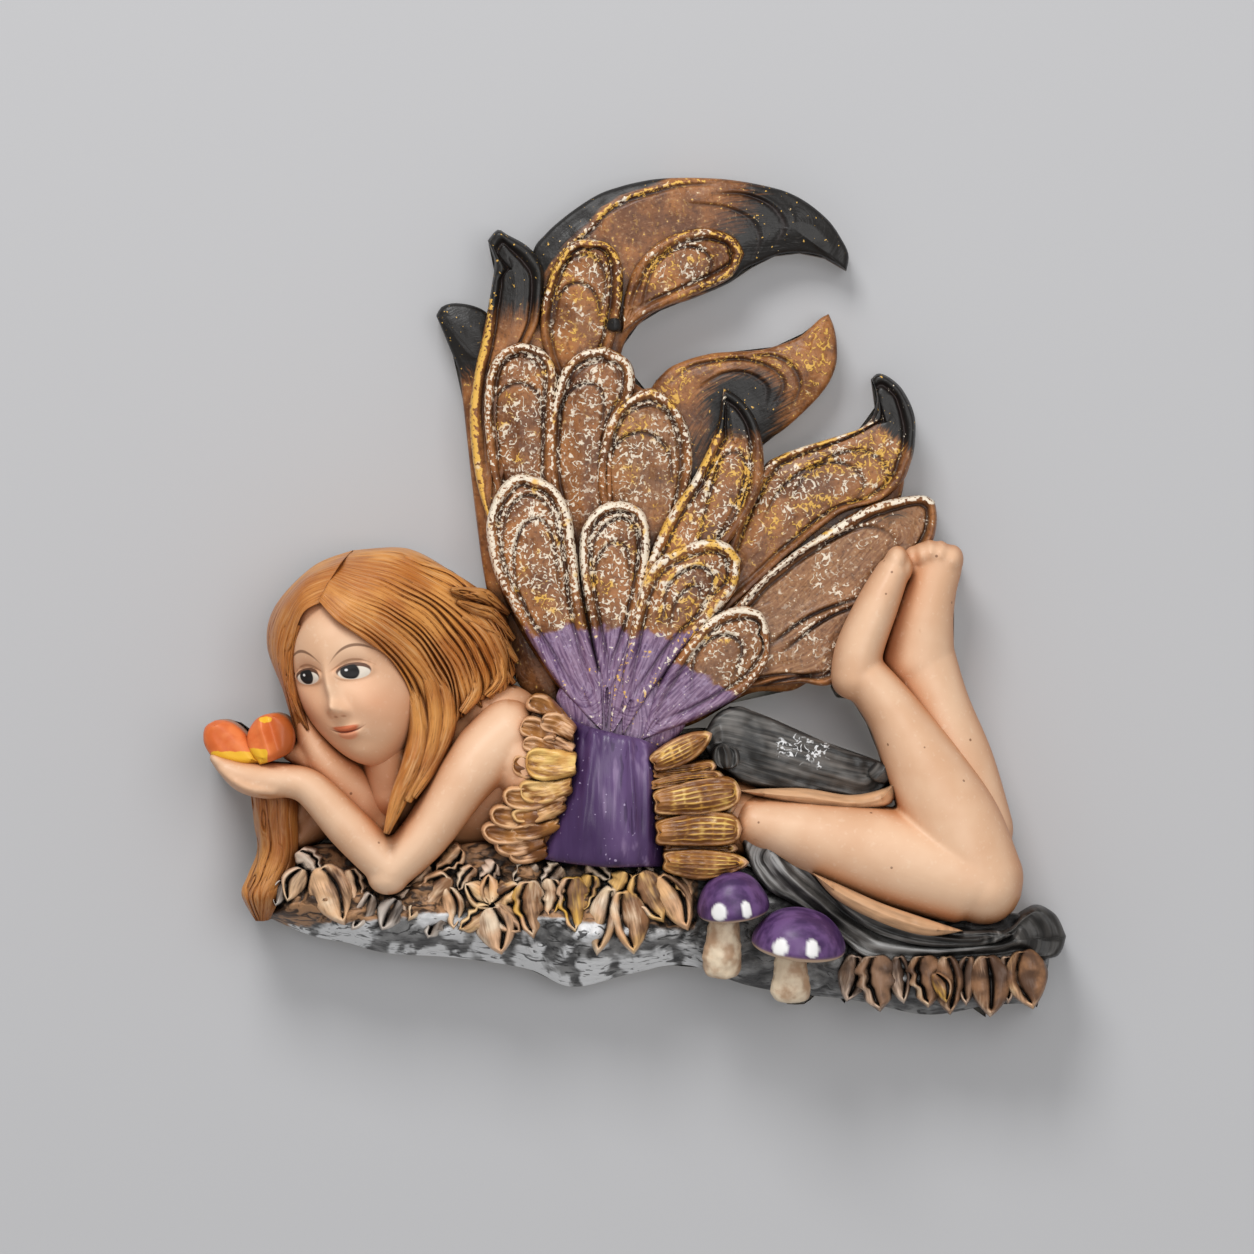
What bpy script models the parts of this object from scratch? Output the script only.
"""Fairy fridge magnet: one resin casting with a flat back, and two disc magnets glued into it."""
import math

import bmesh
import bpy
from mathutils import Matrix, Vector, noise

for old in list(bpy.data.objects):
    bpy.data.objects.remove(old, do_unlink=True)

# Main sizes of the figure
FIGURE_WIDTH = 0.0860
FIGURE_DEPTH = 0.0170

# Frame: x to the right, z up, the front faces -Y. The origin is the centre of the
# lower magnet's rear face. Outlines are drawn on a front sheet in drawing units,
# u to the right and v down, on which the figure is 860 units wide; the sheet point
# (ORIGIN_U, ORIGIN_V) is the origin. Heights are drawn in levels, 17 to the depth.
SHEET_WIDTH = 860
SHEET_LEVELS = 17
UNIT = FIGURE_WIDTH / SHEET_WIDTH
LEVEL = FIGURE_DEPTH / SHEET_LEVELS
ORIGIN_U = 600
ORIGIN_V = 800

# Magnets and their recesses
MAGNET_DIAMETER = 0.018
MAGNET_THICKNESS = 0.003
MAGNET_CHAMFER = 0.0004
GLUE_GAP = 0.0003
BACK_LIFT = 0.0005
UPPER_MAGNET_U = 606
UPPER_MAGNET_V = 560

# Heights of the relief above the flat back
REAR_WING = 3.0 * LEVEL
PLATE = 4.4 * LEVEL
CELL_LOW = 5.6 * LEVEL
CELL_MID = 6.8 * LEVEL
CELL_FRONT = 8.2 * LEVEL
WING_ROOT = 9.8 * LEVEL
BODICE = 13.4 * LEVEL
ROCK = 10.4 * LEVEL
SKIRT = 10.0 * LEVEL

# Relief steps on a wing cell
RIM_RISE = 0.4 * LEVEL
EDGE_DROP = 0.6 * LEVEL
GROOVE_DROP = 0.3 * LEVEL
BEHIND = 1 * LEVEL

forms = bpy.data.collections.new("forms")
bpy.context.scene.collection.children.link(forms)


def place(u, v, depth):
    return Vector(((u - ORIGIN_U) * UNIT, -BACK_LIFT - depth, (ORIGIN_V - v) * UNIT))


def spread(points, count):
    """count + 1 points at even steps along a smooth curve through the drawn points."""
    dense = []
    last = len(points) - 1
    for i in range(last):
        a, b, c, d = (points[max(i - 1, 0)], points[i], points[i + 1], points[min(i + 2, last)])
        for k in range(8):
            t = k / 8
            dense.append([
                0.5 * (2 * q + (r - p) * t + (2 * p - 5 * q + 4 * r - s) * t * t
                       + (3 * q - p - 3 * r + s) * t * t * t)
                for p, q, r, s in zip(a, b, c, d)
            ])
    dense.append(list(points[-1]))
    along = [0.0]
    for p, q in zip(dense, dense[1:]):
        along.append(along[-1] + math.dist(p[:2], q[:2]))
    even = []
    k = 0
    for step in range(count + 1):
        want = along[-1] * step / count
        while k < len(along) - 2 and along[k + 1] < want:
            k += 1
        t = (want - along[k]) / max(along[k + 1] - along[k], 1e-9)
        even.append([p + (q - p) * t for p, q in zip(dense[k], dense[k + 1])])
    return even


def finish(mesh, name):
    """Close the body, turn its faces outwards and keep it as one form."""
    bmesh.ops.remove_doubles(mesh, verts=mesh.verts, dist=1e-7)
    bmesh.ops.recalc_face_normals(mesh, faces=mesh.faces)
    data = bpy.data.meshes.new(name)
    mesh.to_mesh(data)
    mesh.free()
    form = bpy.data.objects.new(name, data)
    form.hide_render = True
    form.display_type = "WIRE"
    forms.objects.link(form)
    return form


def petal(name, side_a, side_b, root, tip, rings, count=8):
    """A raised cell between two sides that both run from its root to its tip."""
    a = spread(side_a, count)
    b = spread(side_b, count)
    outline = a + b[-2:0:-1]
    total = 2 * count
    inner = []
    for i in range(total):
        k = min(i, total - i)
        k = min(max(k, count / 6), count - count / 6)
        low = int(k)
        t = k - low
        high = min(low + 1, count)
        inner.append([
            0.5 * ((a[low][n] + b[low][n]) * (1 - t) + (a[high][n] + b[high][n]) * t)
            for n in (0, 1)
        ])
    mesh = bmesh.new()
    layers = [[mesh.verts.new(place(p[0], p[1], -BEHIND)) for p in outline]]
    for t, rise in rings:
        layer = []
        for i, (p, q) in enumerate(zip(outline, inner)):
            s = min(i, total - i) / count
            depth = root + (tip - root) * s + rise
            layer.append(mesh.verts.new(place(p[0] + (q[0] - p[0]) * t, p[1] + (q[1] - p[1]) * t, depth)))
        layers.append(layer)
    for low, high in zip(layers, layers[1:]):
        for i in range(total):
            k = (i + 1) % total
            mesh.faces.new((low[i], low[k], high[k], high[i]))
    top = layers[-1]
    for i in range(1, count - 1):
        mesh.faces.new((top[i], top[i + 1], top[total - i - 1], top[total - i]))
    mesh.faces.new((top[0], top[1], top[-1]))
    mesh.faces.new((top[count - 1], top[count], top[count + 1]))
    mesh.faces.new(layers[0])
    return finish(mesh, name)


def loft(name, guides, wide, long, ripple=None):
    """A relief whose front runs smoothly over the drawn guides and whose back is flat."""
    rows = [spread(guide, long) for guide in guides]
    columns = [spread([row[j] for row in rows], wide) for j in range(long + 1)]
    mesh = bmesh.new()
    front = []
    back = []
    for j, column in enumerate(columns):
        line = []
        rear = []
        for i, p in enumerate(column):
            extra = ripple(i / wide, j / long) if ripple else 0.0
            line.append(mesh.verts.new(place(p[0], p[1], p[2] * LEVEL + extra)))
            rear.append(mesh.verts.new(place(p[0], p[1], -BEHIND)))
        front.append(line)
        back.append(rear)
    for j in range(long):
        for i in range(wide):
            mesh.faces.new((front[j][i], front[j][i + 1], front[j + 1][i + 1], front[j + 1][i]))
    ring = [(0, i) for i in range(wide)] + [(j, wide) for j in range(long)]
    ring += [(long, i) for i in range(wide, 0, -1)] + [(j, 0) for j in range(long, 0, -1)]
    for (j, i), (m, n) in zip(ring, ring[1:] + ring[:1]):
        mesh.faces.new((front[j][i], front[m][n], back[m][n], back[j][i]))
    inside = [v for j, rear in enumerate(back) for i, v in enumerate(rear) if (j, i) not in ring]
    mesh.faces.new([back[j][i] for j, i in ring])
    bmesh.ops.delete(mesh, geom=inside, context="VERTS")
    return finish(mesh, name)


def tube(name, path, front=5, long=6):
    """A limb swept along a drawn path of (u, v, depth, half width, half depth), its rear carried to the back."""
    stations = spread(path, long)
    centres = [place(s[0], s[1], s[2] * LEVEL) for s in stations]
    mesh = bmesh.new()
    rings = []
    for i, (centre, s) in enumerate(zip(centres, stations)):
        along = centres[min(i + 1, long)] - centres[max(i - 1, 0)]
        along = Vector((along.x, 0, along.z)).normalized()
        side = Vector((along.z, 0, -along.x))
        ends = [(0.0, 1.0)]
        if i == 0:
            ends = [(-0.75, 0.66), (-0.4, 0.92), (0.0, 1.0)]
        if i == long:
            ends = [(0.0, 1.0), (0.4, 0.92), (0.75, 0.66)]
        for push, scale in ends:
            reach = s[3] * UNIT
            heart = centre + along * push * reach
            ring = []
            for k in range(front + 1):
                turn = math.pi * k / front
                ring.append(heart + side * math.cos(turn) * reach * scale
                            - Vector((0, math.sin(turn) * s[4] * LEVEL * scale, 0)))
            ring.append(Vector((ring[-1].x, BEHIND, ring[-1].z)))
            ring.append(Vector((ring[0].x, BEHIND, ring[0].z)))
            rings.append([mesh.verts.new(p) for p in ring])
    for low, high in zip(rings, rings[1:]):
        for k in range(front + 3):
            n = (k + 1) % (front + 3)
            mesh.faces.new((low[k], low[n], high[n], high[k]))
    mesh.faces.new(rings[0])
    mesh.faces.new(rings[-1])
    return finish(mesh, name)


def settle(mesh, depth):
    """Keep the front of a round form and carry its outline straight back."""
    geom = mesh.verts[:] + mesh.edges[:] + mesh.faces[:]
    level = Vector((0, -BACK_LIFT - depth, 0))
    bmesh.ops.bisect_plane(mesh, geom=geom, dist=1e-7, plane_co=level, plane_no=(0, 1, 0), clear_outer=True)
    rim = [edge for edge in mesh.edges if edge.is_boundary]
    wall = bmesh.ops.extrude_edge_only(mesh, edges=rim)["geom"]
    for vert in wall:
        if isinstance(vert, bmesh.types.BMVert):
            vert.co.y = BEHIND
    bmesh.ops.holes_fill(mesh, edges=[edge for edge in mesh.edges if edge.is_boundary])


def lathe(name, profile, u, v, depth, lean, steps=12):
    """A round form spun from a profile of (radius, height) in drawing units."""
    mesh = bmesh.new()
    verts = [mesh.verts.new((r * UNIT, 0, h * UNIT)) for r, h in profile]
    edges = [mesh.edges.new(pair) for pair in zip(verts, verts[1:])]
    bmesh.ops.spin(mesh, geom=verts + edges, cent=(0, 0, 0), axis=(0, 0, 1), angle=math.tau, steps=steps)
    bmesh.ops.remove_doubles(mesh, verts=mesh.verts, dist=1e-6)
    turn = Matrix.Translation(place(u, v, depth)) @ Matrix.Rotation(math.radians(lean), 4, "X")
    bmesh.ops.transform(mesh, matrix=turn, verts=mesh.verts)
    settle(mesh, depth)
    return finish(mesh, name)


# Wings: rear plates first, then the overlapping cells with raised rims
PLAIN = [(0.0, -EDGE_DROP), (0.12, 0.0), (0.85, RIM_RISE)]
CELL = [(0.0, -EDGE_DROP), (0.1, RIM_RISE), (0.26, -GROOVE_DROP), (0.85, 0.0)]

petal("wing_rear_left",
      [(568, 728), (522, 690), (499, 640), (484, 580), (473, 500), (464, 420), (458, 372), (448, 345), (435, 312)],
      [(568, 728), (560, 640), (535, 550), (518, 450), (503, 360), (489, 316), (470, 303), (452, 301), (435, 312)],
      REAR_WING, REAR_WING, PLAIN, 10)
petal("wing_arch",
      [(575, 430), (545, 380), (530, 330), (527, 285), (533, 248), (560, 218), (600, 191), (640, 179),
       (690, 175), (745, 179), (790, 190), (822, 210), (842, 235), (848, 268)],
      [(575, 430), (600, 400), (618, 360), (628, 334), (650, 313), (690, 297), (730, 280), (760, 260),
       (780, 252), (800, 250), (820, 253), (835, 260), (848, 268)],
      PLATE, REAR_WING, PLAIN, 14)
petal("wing_rear_middle",
      [(665, 500), (645, 440), (648, 395), (665, 370), (700, 355), (730, 350), (760, 348), (790, 340),
       (812, 325), (829, 312)],
      [(665, 500), (700, 495), (740, 465), (768, 440), (800, 415), (822, 393), (836, 367), (838, 340),
       (834, 322), (829, 312)],
      REAR_WING, REAR_WING, PLAIN, 10)
petal("wing_left_plate",
      [(603, 730), (560, 690), (525, 640), (500, 590), (489, 545), (482, 490), (478, 440), (478, 400),
       (485, 365), (500, 330), (520, 315), (560, 315)],
      [(603, 730), (612, 690), (632, 640), (650, 570), (668, 500), (682, 455), (676, 418), (650, 393),
       (628, 375), (606, 340), (560, 315)],
      PLATE, PLATE, PLAIN)
petal("wing_right_plate",
      [(620, 742), (622, 690), (634, 620), (655, 560), (695, 500), (730, 470), (780, 463), (840, 444), (890, 446)],
      [(620, 742), (690, 726), (750, 694), (800, 688), (850, 640), (875, 570), (900, 505), (905, 470), (890, 446)],
      PLATE, PLATE, PLAIN)

petal("cell_horn",
      [(490, 525), (478, 490), (471, 450), (469, 410), (474, 372), (483, 330), (491, 285), (494, 262),
       (491, 248), (487, 238)],
      [(490, 525), (512, 450), (517, 400), (527, 350), (539, 320), (543, 290), (543, 268), (530, 248),
       (507, 233), (497, 229), (487, 238)],
      CELL_MID, CELL_LOW, CELL, 9)
petal("cell_a",
      [(578, 360), (556, 352), (541, 335), (541, 308), (547, 280), (557, 258), (571, 241), (588, 237)],
      [(578, 360), (600, 345), (612, 315), (621, 285), (621, 262), (610, 243), (588, 237)],
      CELL_LOW, CELL_LOW, CELL, 7)
petal("cell_b",
      [(622, 332), (624, 298), (632, 272), (648, 250), (670, 234), (700, 226), (722, 229), (738, 238), (745, 252)],
      [(622, 332), (645, 315), (675, 301), (705, 289), (732, 275), (745, 252)],
      CELL_LOW, PLATE, CELL, 7)
petal("cell_c",
      [(528, 505), (505, 482), (492, 450), (486, 410), (488, 372), (500, 350), (520, 341)],
      [(528, 505), (545, 480), (549, 440), (553, 400), (555, 370), (543, 349), (520, 341)],
      CELL_MID, CELL_LOW, CELL, 7)
petal("cell_d",
      [(580, 525), (562, 500), (550, 470), (549, 430), (554, 392), (563, 366), (582, 350), (605, 345)],
      [(580, 525), (597, 480), (604, 450), (613, 415), (633, 388), (630, 360), (605, 345)],
      CELL_MID, CELL_LOW, CELL, 7)
petal("cell_e",
      [(655, 528), (628, 505), (605, 480), (600, 455), (607, 430), (620, 402), (638, 390), (652, 387)],
      [(655, 528), (672, 500), (686, 470), (690, 440), (682, 414), (668, 396), (652, 387)],
      CELL_MID, CELL_LOW, CELL, 7)
petal("cell_g",
      [(606, 728), (600, 680), (590, 630), (581, 580), (580, 535), (592, 512), (607, 502), (620, 500)],
      [(606, 728), (613, 690), (632, 640), (646, 580), (651, 540), (645, 514), (633, 504), (620, 500)],
      WING_ROOT, CELL_MID, CELL, 8)
petal("cell_f",
      [(603, 733), (570, 700), (545, 665), (515, 615), (495, 575), (486, 530), (494, 497), (508, 478), (522, 472)],
      [(603, 733), (603, 690), (592, 645), (581, 590), (576, 545), (570, 510), (552, 484), (522, 472)],
      WING_ROOT, CELL_MID, CELL, 9)
petal("cell_i",
      [(690, 640), (715, 575), (742, 505), (764, 466), (800, 447), (845, 433), (866, 425), (877, 405),
       (877, 388), (873, 377)],
      [(690, 640), (740, 602), (790, 555), (840, 515), (880, 502), (903, 482), (914, 450), (916, 415),
       (903, 388), (885, 374), (873, 377)],
      CELL_MID, PLATE, CELL, 12)
petal("cell_j",
      [(640, 738), (690, 650), (740, 600), (790, 555), (850, 515), (900, 497), (925, 495), (937, 500)],
      [(640, 738), (700, 715), (745, 690), (800, 683), (835, 683), (872, 640), (905, 590), (932, 545), (937, 500)],
      CELL_FRONT, CELL_LOW, CELL, 10)
petal("cell_h",
      [(610, 738), (612, 690), (622, 635), (640, 580), (665, 520), (695, 475), (716, 430), (721, 405), (724, 387)],
      [(610, 738), (640, 690), (668, 620), (702, 575), (735, 535), (760, 492), (764, 455), (757, 420),
       (740, 397), (724, 387)],
      WING_ROOT, CELL_LOW, CELL, 10)
petal("cell_k",
      [(622, 738), (622, 680), (632, 620), (645, 575), (675, 550), (707, 539), (728, 542), (742, 560)],
      [(622, 738), (650, 695), (682, 652), (712, 618), (736, 590), (742, 560)],
      WING_ROOT, CELL_FRONT, CELL, 8)
petal("cell_l",
      [(640, 742), (655, 692), (680, 650), (705, 622), (730, 608), (752, 607), (770, 630)],
      [(640, 742), (690, 722), (730, 702), (754, 683), (768, 660), (770, 630)],
      WING_ROOT, CELL_FRONT, CELL, 8)

# Trunk, neck, arms and legs
tube("trunk", [(370, 790, 6, 40, 5), (450, 790, 6, 58, 5.6), (540, 790, 5.6, 66, 5.6), (640, 800, 5.4, 60, 5.6),
               (740, 820, 5.6, 42, 5.4)], 6, 5)
petal("waist", [(500, 770), (530, 722), (600, 722), (665, 735), (735, 745), (765, 790)],
      [(500, 770), (510, 850), (590, 878), (690, 880), (755, 850), (765, 790)], 8.6 * LEVEL, 8.6 * LEVEL, PLAIN, 6)
petal("chest",
      [(297, 842), (291, 790), (298, 740), (330, 706), (400, 700), (470, 697), (530, 690), (572, 725)],
      [(297, 842), (360, 872), (430, 862), (500, 850), (560, 800), (572, 725)], 6.6 * LEVEL, 8.0 * LEVEL, PLAIN, 7)
tube("neck", [(385, 700, 8, 24, 4.5), (386, 745, 8.0, 26, 4.2), (395, 790, 8, 34, 5)], 5, 3)
tube("upper_arm", [(508, 734, 8.6, 35, 4.2), (462, 782, 10.6, 29, 3.6), (425, 835, 11.4, 25, 3.3),
                   (392, 868, 11.8, 22, 3.0)], 6, 5)
tube("forearm", [(390, 868, 11.8, 21, 2.9), (350, 828, 12.2, 21, 2.8), (312, 788, 12.4, 17, 2.4),
                 (286, 780, 12.4, 16, 2.2)], 5, 4)
tube("hand", [(292, 780, 12.4, 16, 2.2), (262, 779, 12.6, 17, 2.6), (234, 771, 12.6, 13, 2.6),
              (216, 760, 12.4, 6, 2.0)], 5, 4)
tube("far_hand", [(345, 785, 9.5, 15, 2.0), (322, 762, 10, 14, 2.0), (306, 742, 10, 8, 1.6)], 4, 3)
tube("thigh", [(765, 825, 7.0, 30, 5.0), (830, 842, 7.2, 42, 5.6), (900, 860, 7.4, 48, 5.9),
               (965, 880, 7.6, 46, 5.9), (985, 890, 7.6, 36, 5.5)], 7, 6)
tube("calf_near", [(978, 878, 7.6, 45, 5.6), (955, 825, 7.8, 46, 5.4), (925, 768, 8.0, 38, 4.9),
                   (895, 715, 8.2, 28, 4.1), (868, 678, 8.2, 24, 3.8)], 7, 6)
tube("foot_near", [(856, 682, 8.2, 24, 3.8), (862, 645, 8.4, 25, 3.6), (880, 600, 8.4, 20, 3.2),
                   (895, 563, 8.2, 14, 2.6)], 5, 5)
tube("calf_far", [(975, 830, 4.6, 40, 4.2), (955, 765, 4.6, 36, 4.2), (937, 705, 4.8, 32, 4.0),
                  (922, 655, 5.0, 34, 3.6)], 6, 5)
tube("foot_far", [(922, 655, 5.0, 34, 3.6), (926, 620, 5.2, 31, 3.4), (932, 585, 5.2, 25, 3.0),
                  (940, 560, 5.2, 22, 2.6)], 5, 4)

# Head: a rounded egg with brow, cheeks, nose, lips and chin of plain doll-like proportions
HEAD_U = 354
HEAD_V = 664
HEAD_DEPTH = 9.2 * LEVEL
HEAD_WIDTH = 124 * UNIT
HEAD_HEIGHT = 208 * UNIT
HEAD_LENGTH = 14.2 * LEVEL
HEAD_TURN = 25
HEAD_TILT = 8


def bump(x, z, at_x, at_z, wide, high):
    return math.exp(-((x - at_x) / wide) ** 2 - ((z - at_z) / high) ** 2)


def head_point(x, y, z):
    """Move a point of the unit sphere onto the head; z = 0 is the eye line and z = -1 the chin."""
    taper = 1.0 - 0.24 * max(0.0, -z) ** 2
    if y < 0:
        rise = 0.08 * bump(x, z, 0, 0.32, 0.50, 0.22)
        for side in (-1, 1):
            rise -= 0.17 * bump(x, z, 0.40 * side, 0.02, 0.22, 0.13)
            rise += 0.10 * bump(x, z, 0.40 * side, 0.0, 0.15, 0.07)
            rise += 0.06 * bump(x, z, 0.46 * side, -0.38, 0.25, 0.22)
        rise += 0.26 * bump(x, z, 0, -0.36, 0.13, 0.12)
        rise += 0.13 * bump(x, z, 0, -0.12, 0.10, 0.20)
        rise += 0.10 * bump(x, z, 0, -0.62, 0.22, 0.08)
        rise += 0.10 * bump(x, z, 0, -0.90, 0.24, 0.14)
        y -= rise
    return Vector((x * taper * HEAD_WIDTH / 2, y * HEAD_LENGTH / 2, z * HEAD_HEIGHT / 2))


mesh = bmesh.new()
bmesh.ops.create_uvsphere(mesh, u_segments=26, v_segments=20, radius=1.0)
bmesh.ops.rotate(mesh, matrix=Matrix.Rotation(math.pi / 2, 3, "X"), verts=mesh.verts)
for vert in mesh.verts:
    vert.co = head_point(*vert.co)
turn = Matrix.Rotation(math.radians(-HEAD_TILT), 4, "Y") @ Matrix.Rotation(math.radians(-HEAD_TURN), 4, "Z")
turn = Matrix.Translation(place(HEAD_U, HEAD_V, HEAD_DEPTH)) @ turn
bmesh.ops.transform(mesh, matrix=turn, verts=mesh.verts)
settle(mesh, HEAD_DEPTH)
finish(mesh, "head")


# Hair: combed sheets that fall from the parting, each with shallow strand ridges
def strands(number, height):
    return lambda across, along: height * abs(math.sin(across * number * math.pi)) * min(1.0, 4 * along)


loft("hair_back",
     [[(322, 600, 15.2), (345, 618, 15.4), (375, 640, 14.6), (400, 672, 12.8), (414, 715, 11.0), (405, 760, 10.0)],
      [(326, 592, 15.0), (365, 606, 15.0), (405, 635, 13.8), (432, 672, 12.0), (445, 705, 10.6), (430, 765, 9.4)],
      [(332, 580, 14.2), (380, 588, 14.4), (425, 612, 13.2), (462, 650, 11.4), (480, 685, 10.0), (468, 706, 9.2)],
      [(340, 566, 12.4), (390, 568, 13.0), (440, 588, 12.0), (482, 622, 10.4), (505, 662, 9.0), (498, 698, 8.4)],
      [(348, 556, 9.6), (395, 552, 10.2), (440, 567, 9.4), (480, 594, 8.4), (503, 625, 7.6), (514, 675, 7.4)],
      [(352, 550, 5.0), (395, 548, 5.4), (436, 562, 5.0), (478, 590, 4.6), (506, 618, 4.6), (516, 682, 5.0)]],
     18, 7, strands(9, 0.6 * LEVEL))
loft("hair_left",
     [[(325, 602, 15.0), (306, 612, 14.8), (297, 635, 13.6), (293, 665, 12.6), (296, 695, 11.6), (300, 715, 10.6)],
      [(326, 590, 14.6), (300, 603, 13.6), (286, 630, 12.2), (281, 662, 11.4), (288, 695, 10.8), (296, 716, 10.2)],
      [(336, 574, 12.6), (302, 590, 11.4), (279, 618, 10.0), (273, 650, 9.6), (284, 688, 9.8), (292, 714, 9.8)],
      [(350, 554, 7.6), (312, 569, 6.6), (276, 608, 6.2), (268, 645, 6.6), (281, 688, 8.0), (289, 714, 9.0)]],
     10, 7, strands(5, 0.4 * LEVEL))
tube("lock_front", [(400, 668, 12.4, 9, 2.0), (418, 708, 11.6, 12, 2.4), (420, 750, 12.2, 13, 2.6),
                    (404, 790, 13.4, 10, 2.2), (389, 826, 14.2, 5, 1.2)], 4, 7)
tube("lock_outer", [(425, 660, 11.8, 10, 2.2), (448, 700, 10.4, 11, 2.2), (444, 742, 11.0, 10, 2.0),
                    (424, 778, 12.6, 8, 1.6), (408, 806, 13.4, 4, 1.0)], 4, 7)
loft("hair_hanging",
     [[(252, 792, 8.0), (252, 825, 8.0), (256, 850, 8.2), (246, 875, 9.0), (242, 895, 9.4), (256, 922, 8.6)],
      [(262, 790, 10.0), (262, 825, 10.0), (262, 852, 10.2), (254, 878, 11.0), (252, 896, 11.4), (259, 922, 9.0)],
      [(282, 790, 10.4), (284, 825, 10.4), (280, 855, 10.8), (272, 880, 11.4), (268, 898, 11.4), (264, 922, 9.0)],
      [(298, 790, 8.8), (298, 825, 8.8), (297, 858, 9.0), (290, 880, 9.4), (279, 900, 9.6), (269, 921, 8.6)]],
     12, 8, strands(5, 0.5 * LEVEL))

# Dress: bodice, the frills of small shells and ribbed leaves on its sides, and two skirts
loft("bodice",
     [[(565, 716, 9.0), (559, 755, 10.0), (547, 805, 10.2), (524, 853, 9.6)],
      [(585, 725, 12.0), (581, 765, 13.0), (572, 812, 13.2), (553, 860, 12.4)],
      [(615, 733, 12.8), (613, 772, 13.6), (608, 818, 13.8), (603, 866, 12.8)],
      [(642, 739, 12.4), (645, 775, 13.4), (644, 822, 13.4), (645, 866, 12.4)],
      [(660, 748, 9.6), (665, 780, 10.4), (663, 824, 10.4), (673, 867, 9.8)]],
     10, 6, lambda across, along: 0.5 * LEVEL * abs(math.sin(across * 5 * math.pi)) * (1 - along * 0.5))

SHELL = [(0.0, -0.7 * LEVEL), (0.3, 0.0), (0.85, 0.2 * LEVEL)]
for name, root, tip, side in (
        ("shell_1", (580, 730), (524, 704), 13), ("shell_2", (572, 748), (520, 728), 13),
        ("shell_3", (568, 768), (522, 760), 17), ("shell_4", (562, 790), (509, 788), 14),
        ("shell_5", (558, 808), (493, 812), 12), ("shell_6", (554, 825), (482, 832), 11),
        ("shell_7", (548, 842), (478, 850), 10)):
    run = Vector((tip[0] - root[0], tip[1] - root[1]))
    across = Vector((-run.y, run.x)).normalized() * side
    middle = (root[0] + run.x * 0.6, root[1] + run.y * 0.6)
    petal(name, [root, (middle[0] + across.x, middle[1] + across.y), tip],
          [root, (middle[0] - across.x, middle[1] - across.y), tip],
          BODICE - 0.2 * LEVEL, BODICE - 1.2 * LEVEL, SHELL, 4)
for name, root, tip, side in (
        ("rib_1", (650, 765), (713, 729), 15), ("rib_2", (652, 782), (724, 757), 15),
        ("rib_3", (655, 802), (741, 798), 19), ("rib_4", (657, 832), (741, 835), 18),
        ("rib_5", (668, 860), (749, 860), 14)):
    run = Vector((tip[0] - root[0], tip[1] - root[1]))
    across = Vector((-run.y, run.x)).normalized() * side
    middle = (root[0] + run.x * 0.55, root[1] + run.y * 0.55)
    petal(name, [root, (middle[0] + across.x, middle[1] + across.y), tip],
          [root, (middle[0] - across.x, middle[1] - across.y), tip],
          BODICE, BODICE - 1.2 * LEVEL, SHELL, 5)

FOLD = [(0.0, -1.2 * LEVEL), (0.25, 0.0), (0.5, 0.6 * LEVEL), (0.7, 0.0), (0.88, 0.5 * LEVEL)]
petal("skirt_upper",
      [(700, 745), (716, 716), (737, 707), (780, 722), (810, 736), (840, 748), (880, 762), (891, 776)],
      [(700, 745), (722, 768), (745, 784), (780, 790), (830, 795), (875, 798), (891, 776)],
      SKIRT, 7.2 * LEVEL, FOLD, 9)
petal("skirt_lower",
      [(736, 806), (775, 822), (800, 852), (826, 886), (860, 914), (920, 933), (1000, 931), (1028, 911), (1064, 934)],
      [(736, 806), (744, 850), (764, 886), (800, 908), (845, 942), (875, 961), (960, 963), (1020, 958), (1064, 934)],
      SKIRT, 9.4 * LEVEL, FOLD, 12)

# Rock base, the leaves that lie over it, and two mushrooms
loft("rock",
     [[(262, 902, 4), (262, 908, 7), (264, 914, 7), (266, 919, 3)],
      [(300, 852, 7), (302, 885, 9.4), (305, 915, 9.4), (308, 937, 3)],
      [(345, 845, 8), (345, 885, 10.4), (346, 920, 10.2), (347, 945, 3)],
      [(390, 855, 9), (388, 895, 10.6), (386, 930, 10.2), (385, 955, 3)],
      [(455, 845, 9), (455, 890, 10.8), (456, 930, 10.4), (457, 960, 3)],
      [(525, 840, 9), (525, 890, 11.0), (525, 935, 10.6), (527, 971, 3)],
      [(575, 850, 9), (575, 900, 11.0), (573, 945, 10.8), (572, 989, 3)],
      [(630, 855, 9), (630, 900, 10.6), (630, 940, 10.2), (630, 976, 3)],
      [(680, 860, 9), (682, 900, 10.0), (684, 935, 9.6), (686, 967, 3)],
      [(740, 865, 8), (742, 905, 9.0), (744, 950, 9.0), (746, 987, 3)],
      [(800, 890, 7), (800, 925, 8.4), (800, 960, 8.6), (798, 996, 3)],
      [(860, 910, 7), (860, 945, 8.6), (860, 975, 9.0), (860, 1003, 3)],
      [(930, 920, 7), (930, 955, 8.8), (930, 985, 9.2), (930, 1017, 3)],
      [(1000, 915, 7), (1000, 950, 8.8), (1000, 980, 9.0), (998, 1006, 3)],
      [(1040, 920, 5), (1041, 945, 7.0), (1041, 970, 7.4), (1041, 1003, 3)],
      [(1052, 930, 3), (1053, 940, 5.0), (1052, 955, 5.0), (1050, 965, 3)]],
     28, 5, lambda across, along: 0.6 * LEVEL * noise.noise(Vector((across * 34, along * 5, 0.3))) * math.sin(along * math.pi))

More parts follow.
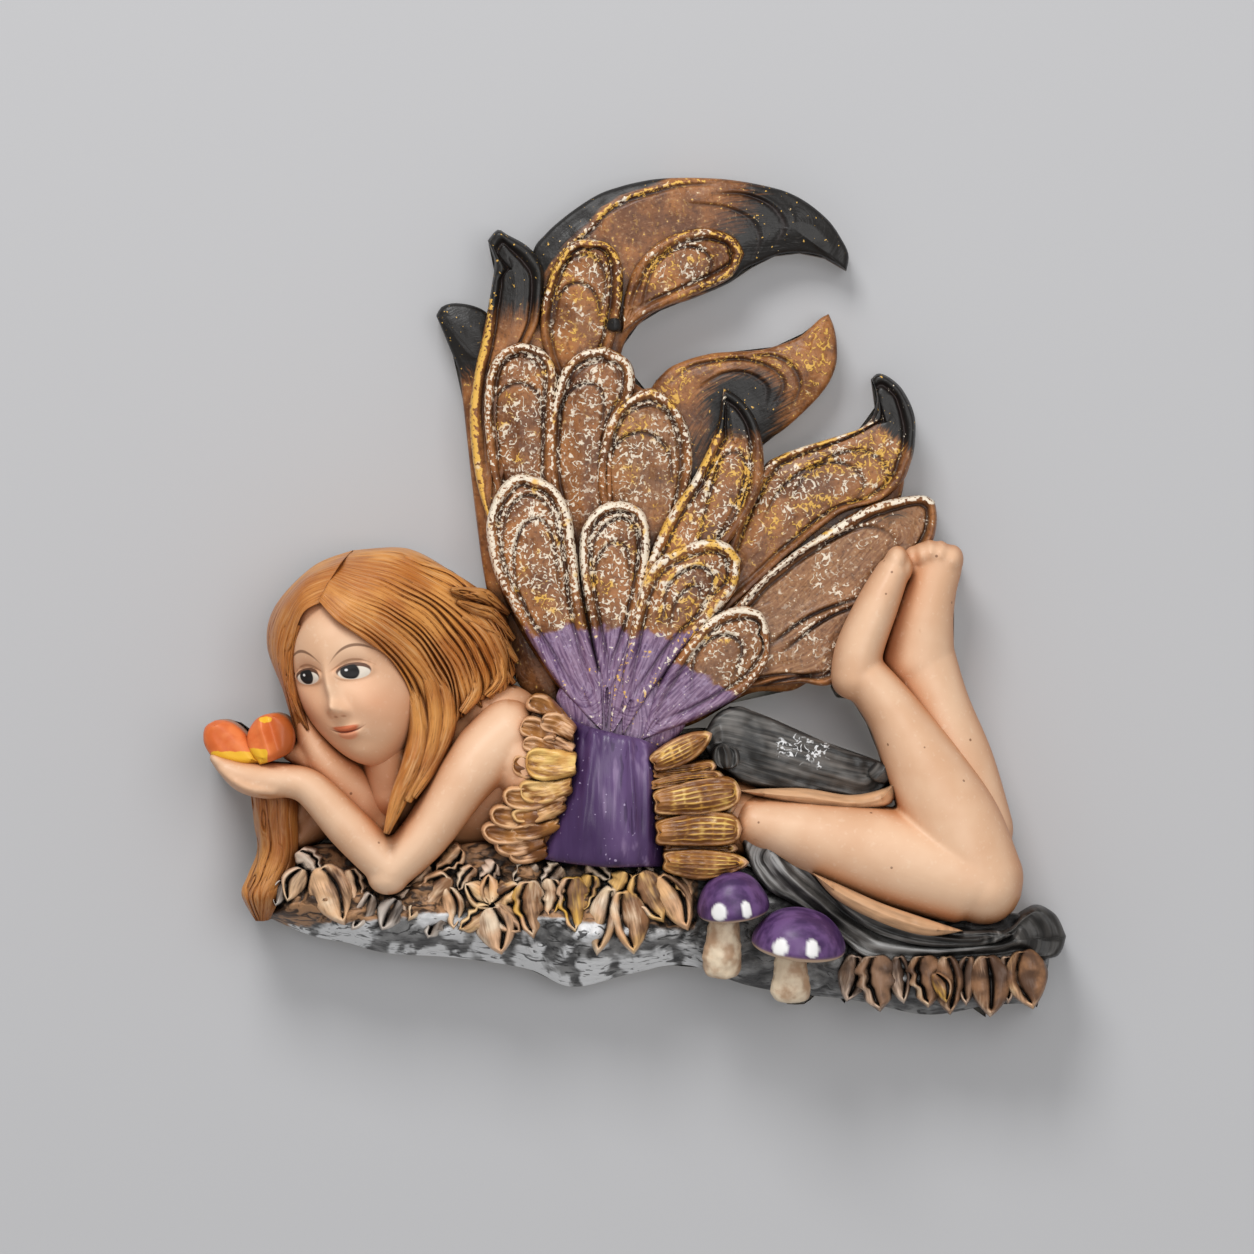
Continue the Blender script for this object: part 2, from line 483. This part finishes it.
LEAF = [(0.0, -0.8 * LEVEL), (0.35, 0.2 * LEVEL), (0.85, -0.4 * LEVEL)]
for k, (root, tip, side) in enumerate((
        ((322, 905), (300, 846), 20), ((345, 915), (375, 858), 17), ((352, 935), (330, 858), 18),
        ((398, 935), (446, 876), 20), ((400, 900), (384, 942), 15), ((440, 925), (476, 858), 20),
        ((496, 904), (452, 930), 15), ((492, 900), (448, 876), 16), ((488, 905), (528, 862), 18),
        ((492, 896), (506, 952), 18), ((522, 885), (552, 946), 18), ((560, 890), (500, 858), 17),
        ((556, 872), (592, 942), 19), ((610, 872), (566, 860), 15), ((606, 868), (622, 958), 20),
        ((640, 868), (662, 936), 18), ((668, 868), (694, 932), 17), ((840, 955), (846, 1006), 14),
        ((864, 952), (880, 1014), 19), ((896, 955), (902, 1008), 13), ((916, 955), (950, 1014), 22),
        ((958, 955), (988, 1020), 18), ((996, 955), (1006, 1005), 15), ((1016, 950), (1040, 1010), 20))):
    run = Vector((tip[0] - root[0], tip[1] - root[1]))
    across = Vector((-run.y, run.x)).normalized() * side
    middle = (root[0] + run.x * 0.45, root[1] + run.y * 0.45)
    petal(f"leaf_{k}", [root, (middle[0] + across.x, middle[1] + across.y), tip],
          [root, (middle[0] - across.x, middle[1] - across.y), tip],
          ROCK + 1.2 * LEVEL, ROCK + 0.4 * LEVEL - (1 * LEVEL if root[0] > 800 else 0.0), LEAF, 4)

CAP = [(0, 38), (14, 36), (27, 26), (35, 10), (37, -2), (33, -6), (16, -4), (14, -30), (16, -58), (10, -66), (0, -68)]
lathe("mushroom_left", [(r, h) for r, h in CAP], 732, 908, 11.8 * LEVEL, 8)
lathe("mushroom_right", [(r * 1.28 if h > -10 else r * 1.3, h * 0.92 if h > 0 else h) for r, h in CAP],
      797, 940, 12.2 * LEVEL, 8)

# Butterfly on the fingertips
WINGLET = [(0.0, -0.4 * LEVEL), (0.2, 0.0), (0.85, 0.1 * LEVEL)]
petal("butterfly_left", [(262, 760), (235, 766), (213, 757), (205, 738), (216, 721)],
      [(262, 760), (255, 742), (244, 727), (230, 721), (216, 721)], 14.0 * LEVEL, 13.2 * LEVEL, WINGLET, 6)
petal("butterfly_right", [(262, 762), (252, 745), (252, 729), (262, 716), (278, 713)],
      [(262, 762), (280, 758), (293, 750), (296, 736), (290, 722), (278, 713)], 14.6 * LEVEL, 13.8 * LEVEL, WINGLET, 6)


# Cutters: everything behind the flat back, and the round recesses of the magnets
def paint(name, colour, roughness, metallic):
    material = bpy.data.materials.new(name)
    material.use_nodes = True
    shader = material.node_tree.nodes["Principled BSDF"]
    shader.inputs["Base Color"].default_value = (*colour, 1.0)
    shader.inputs["Roughness"].default_value = roughness
    shader.inputs["Metallic"].default_value = metallic
    return material


def disc(name, radius, thickness, centre, chamfer):
    """A round disc with its axis along Y, its rear face at the centre point."""
    mesh = bmesh.new()
    bmesh.ops.create_cone(mesh, cap_ends=True, segments=32, radius1=radius, radius2=radius, depth=thickness)
    if chamfer:
        rims = [edge for edge in mesh.edges if abs(edge.verts[0].co.z - edge.verts[1].co.z) < 1e-9]
        bmesh.ops.bevel(mesh, geom=rims, offset=chamfer, segments=1, affect="EDGES")
    turn = Matrix.Translation(centre - Vector((0, thickness / 2, 0))) @ Matrix.Rotation(math.pi / 2, 4, "X")
    bmesh.ops.transform(mesh, matrix=turn, verts=mesh.verts)
    bmesh.ops.recalc_face_normals(mesh, faces=mesh.faces)
    data = bpy.data.meshes.new(name)
    mesh.to_mesh(data)
    mesh.free()
    solid = bpy.data.objects.new(name, data)
    bpy.context.scene.collection.objects.link(solid)
    return solid


def cutter(solid):
    solid.hide_render = True
    solid.display_type = "WIRE"
    return solid


CUT_WIDTH = 3 * FIGURE_WIDTH
CUT_DEPTH = FIGURE_DEPTH
mesh = bmesh.new()
bmesh.ops.create_cube(mesh, size=1.0)
bmesh.ops.scale(mesh, vec=(CUT_WIDTH, CUT_DEPTH, CUT_WIDTH), verts=mesh.verts)
bmesh.ops.translate(mesh, vec=(0, CUT_DEPTH / 2 - BACK_LIFT, 0), verts=mesh.verts)
back_data = bpy.data.meshes.new("back_plane")
mesh.to_mesh(back_data)
mesh.free()
back_plane = cutter(bpy.data.objects.new("back_plane", back_data))
bpy.context.scene.collection.objects.link(back_plane)

seats = {
    "lower": Vector((0, 0, 0)),
    "upper": Vector(((UPPER_MAGNET_U - ORIGIN_U) * UNIT, 0, (ORIGIN_V - UPPER_MAGNET_V) * UNIT)),
}
ferrite = paint("ferrite", (0.035, 0.035, 0.038), 0.55, 0.3)
recesses = []
for which, centre in seats.items():
    magnet = disc(f"magnet_{which}", MAGNET_DIAMETER / 2, MAGNET_THICKNESS, centre, MAGNET_CHAMFER)
    magnet.data.materials.append(ferrite)
    recesses.append(cutter(disc(f"recess_{which}", MAGNET_DIAMETER / 2 + GLUE_GAP,
                                MAGNET_THICKNESS + GLUE_GAP, centre, 0)))

# Casting: the bodice joined with every other form, then cut flat and recessed
casting = bpy.data.objects.new("fairy_casting", forms.objects["bodice"].data.copy())
bpy.context.scene.collection.objects.link(casting)
bpy.data.objects.remove(forms.objects["bodice"], do_unlink=True)
casting.data.materials.append(paint("painted_resin", (0.42, 0.24, 0.12), 0.45, 0.0))
join = casting.modifiers.new("join", "BOOLEAN")
join.operation = "UNION"
join.solver = "EXACT"
join.operand_type = "COLLECTION"
join.collection = forms
for tool in [back_plane, *recesses]:
    cut = casting.modifiers.new(tool.name, "BOOLEAN")
    cut.operation = "DIFFERENCE"
    cut.solver = "EXACT"
    cut.object = tool
tidy = casting.modifiers.new("merge_level_faces", "DECIMATE")
tidy.decimate_type = "DISSOLVE"
tidy.angle_limit = math.radians(4.5)
